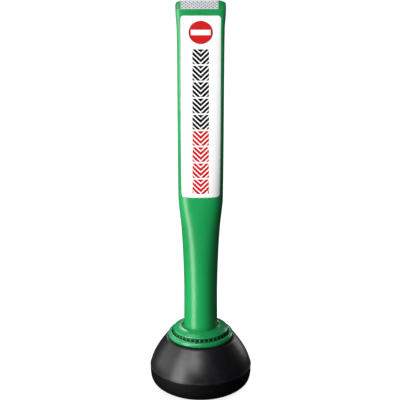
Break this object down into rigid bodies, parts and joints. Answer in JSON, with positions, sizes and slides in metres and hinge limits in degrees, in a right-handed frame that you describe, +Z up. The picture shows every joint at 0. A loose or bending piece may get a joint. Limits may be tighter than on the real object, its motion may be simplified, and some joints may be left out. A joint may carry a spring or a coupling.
{
  "type": "delineator post",
  "caption": "Free-standing green delineator post with a flat labelled head, held in a round black weighted base by a cam lock collar.",
  "frame": {"origin": "middle of the footprint on the floor", "axes": "+Z up along the post, front label faces -Y, +X to the right seen from the front"},
  "size_m": [0.2632, 0.2632, 1.05],
  "materials": {
    "post_green": "semi-gloss blow-moulded green polyethylene",
    "collar_green": "semi-gloss injection-moulded green plastic",
    "label_white": "satin white vinyl sheet with a printed disc and blocks",
    "reflective_tape": "silver prismatic reflective sheeting",
    "cover_black": "semi-gloss moulded black plastic",
    "tray_black": "matt moulded black plastic",
    "inner_black": "black plastic, hidden",
    "rubber_black": "matt black rubber",
    "washer_white": "natural white acetal",
    "ballast_concrete": "cast concrete",
    "fastener_steel": "zinc-plated steel",
    "mark_black": "dark moulded mark",
    "print_red": "red screen-printed vinyl ink",
    "print_black": "black screen-printed vinyl ink"
  },
  "bodies": {
    "base": {"base_ring": "collar_green", "index_dot": "mark_black", "base_cover": "cover_black", "base_tray": "tray_black", "ballast_ring": "ballast_concrete", "socket_sleeve": "inner_black", "foot_ring": "rubber_black", "ring_seal": "rubber_black", "seat_pad": "rubber_black", "guide_key": "fastener_steel", "detent_spring": "fastener_steel", "sleeve_screw_1": "fastener_steel", "sleeve_screw_2": "fastener_steel", "sleeve_screw_3": "fastener_steel", "tie_bolt_1": "fastener_steel", "tie_bolt_2": "fastener_steel", "tie_bolt_3": "fastener_steel", "tie_bolt_4": "fastener_steel"},
    "post": {"post_shell": "post_green", "label_front": "label_white", "label_back": "label_white", "reflective_tape_front": "reflective_tape", "reflective_tape_back": "reflective_tape", "thrust_ring": "inner_black", "thrust_ring_screw_1": "fastener_steel", "thrust_ring_screw_2": "fastener_steel", "thrust_ring_screw_3": "fastener_steel"},
    "collar": {"lock_collar": "collar_green", "ratchet_ring": "collar_green", "index_arrow": "mark_black", "glide_washer": "washer_white"}
  },
  "joints": [
    {"name": "post_lift", "type": "slide", "parent": "base", "child": "post", "axis": [0, 0, 1], "range_m": [0, 0.012]},
    {"name": "collar_turn", "type": "hinge", "parent": "post", "child": "collar", "pos_m": [0, 0, 0.15], "axis": [0, 0, 1], "range_deg": [0, 60]}
  ],
  "couplings": [
    {"joint": "post_lift", "follows": "collar_turn", "m_per_rad": 0.011459}
  ]
}
